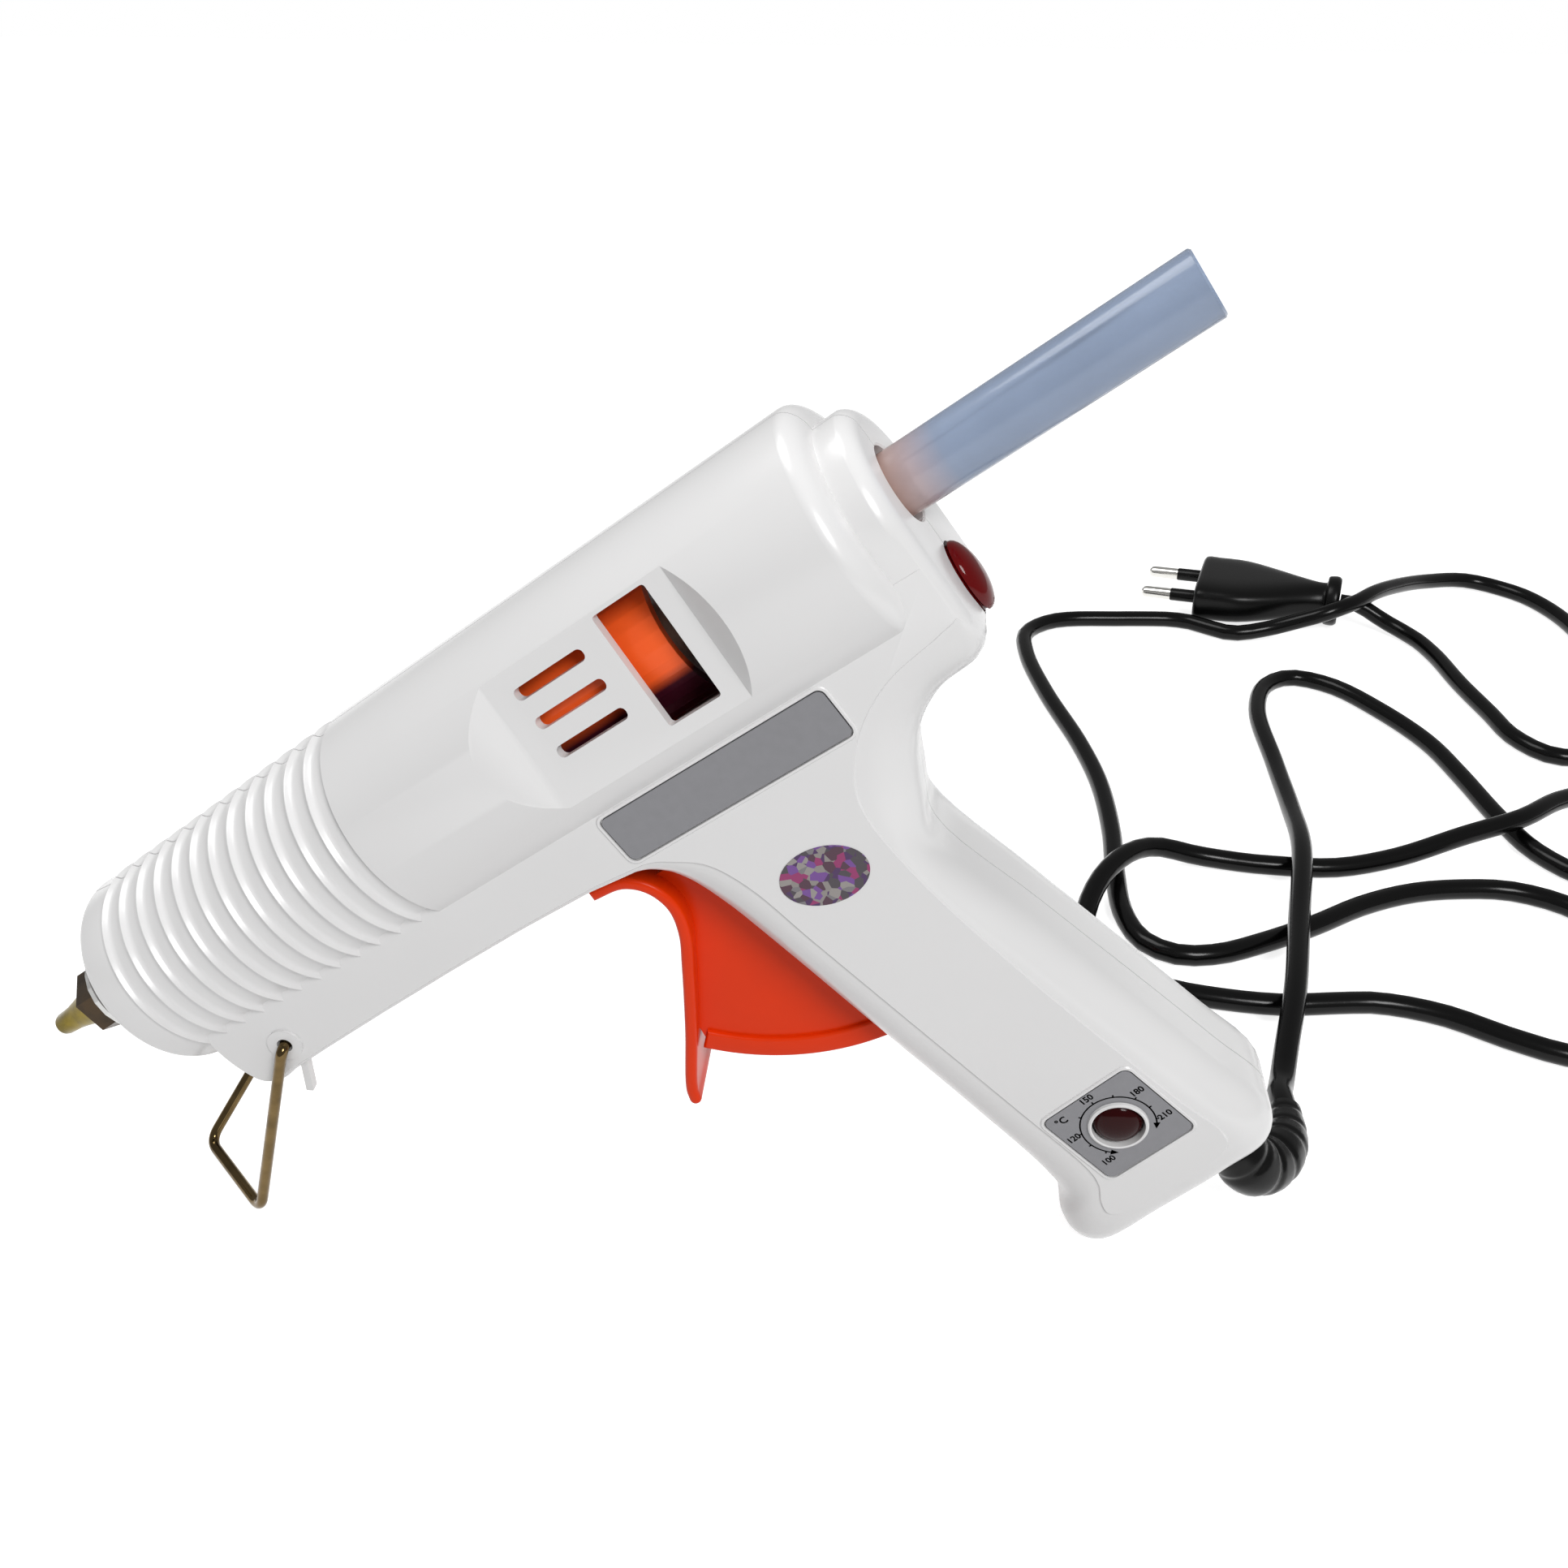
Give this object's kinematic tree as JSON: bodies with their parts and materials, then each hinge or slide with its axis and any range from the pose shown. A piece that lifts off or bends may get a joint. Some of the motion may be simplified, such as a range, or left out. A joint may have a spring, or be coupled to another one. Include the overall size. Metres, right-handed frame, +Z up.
{
  "type": "hot glue gun",
  "caption": "Pistol shaped hot glue gun on a folding wire stand, with brass nozzle, swinging trigger, heat dial, glue stick, mains cord and plug.",
  "frame": {"origin": "on the table under the middle of the gun, midway along its own length and width, without the cord and plug", "axes": "+X towards the handle's heel, +Y to the gun's right side away from the dial, +Z up"},
  "size_m": [0.4046, 0.3388, 0.1835],
  "materials": {
    "white_plastic": "satin pearl",
    "orange_plastic": "gloss",
    "brass": "machined, heat stained",
    "steel": "zinc plated",
    "bronzed_wire": "dark nickel",
    "cast_aluminium": "as cast",
    "ceramic": "matt ceramic",
    "black_plastic": "satin",
    "black_rubber": "satin",
    "silicone": "matt",
    "grey_plate": "satin",
    "red_lens": "clear red",
    "glue": "translucent, waxy",
    "circuit_board": "solder resist"
  },
  "bodies": {
    "housing": {"left_shell": "white_plastic", "right_shell": "white_plastic", "nozzle": "brass", "nozzle_guard": "black_plastic", "melt_chamber": "cast_aluminium", "heater": "ceramic", "heater_clamp": "steel", "inlet_sleeve": "silicone", "sleeve_clip": "steel", "trigger_pin": "steel", "return_spring": "steel", "label_plate": "grey_plate", "dial_plate": "grey_plate", "potentiometer": "black_plastic", "control_board": "circuit_board", "indicator_lens": "red_lens", "indicator_lamp": "red_lens", "cord_clamp": "black_plastic", "strain_relief": "black_rubber", "cord": "black_rubber", "plug_body": "black_rubber", "plug_pin_1": "steel", "plug_pin_2": "steel", "housing_screw_1": "steel", "housing_screw_2": "steel", "housing_screw_3": "steel", "housing_screw_4": "steel", "housing_screw_5": "steel", "housing_screw_6": "steel"},
    "trigger": {"trigger": "orange_plastic"},
    "feed": {"feed_carriage": "orange_plastic", "grip_plate": "steel"},
    "stick": {"glue_stick": "glue"},
    "dial": {"dial_knob": "red_lens"},
    "stand": {"wire_stand": "bronzed_wire"}
  },
  "joints": [
    {"name": "trigger_squeeze", "type": "hinge", "parent": "housing", "child": "trigger", "pos_m": [0.02313, 0, 0.08792], "axis": [0, -1, 0], "range_deg": [0, 30]},
    {"name": "feed_slide", "type": "slide", "parent": "housing", "child": "feed", "axis": [-0.8049, 0, -0.5934], "range_m": [0, 0.01122], "stiffness_N_per_m": 600, "springref_m": -0.0017},
    {"name": "stick_slide", "type": "slide", "parent": "housing", "child": "stick", "axis": [-0.8049, 0, -0.5934], "range_m": [0, 0.0115]},
    {"name": "dial_turn", "type": "hinge", "parent": "housing", "child": "dial", "pos_m": [0.09122, -0.0144, 0.03753], "axis": [0, 1, 0], "range_deg": [-135, 135]},
    {"name": "stand_fold", "type": "hinge", "parent": "housing", "child": "stand", "pos_m": [-0.06518, 0, 0.04443], "axis": [0, -1, 0], "range_deg": [0, 125]}
  ],
  "couplings": [
    {"joint": "trigger_squeeze", "follows": "feed_slide", "rad_per_m": 46.62},
    {"joint": "stick_slide", "follows": "feed_slide", "ratio": 1}
  ]
}
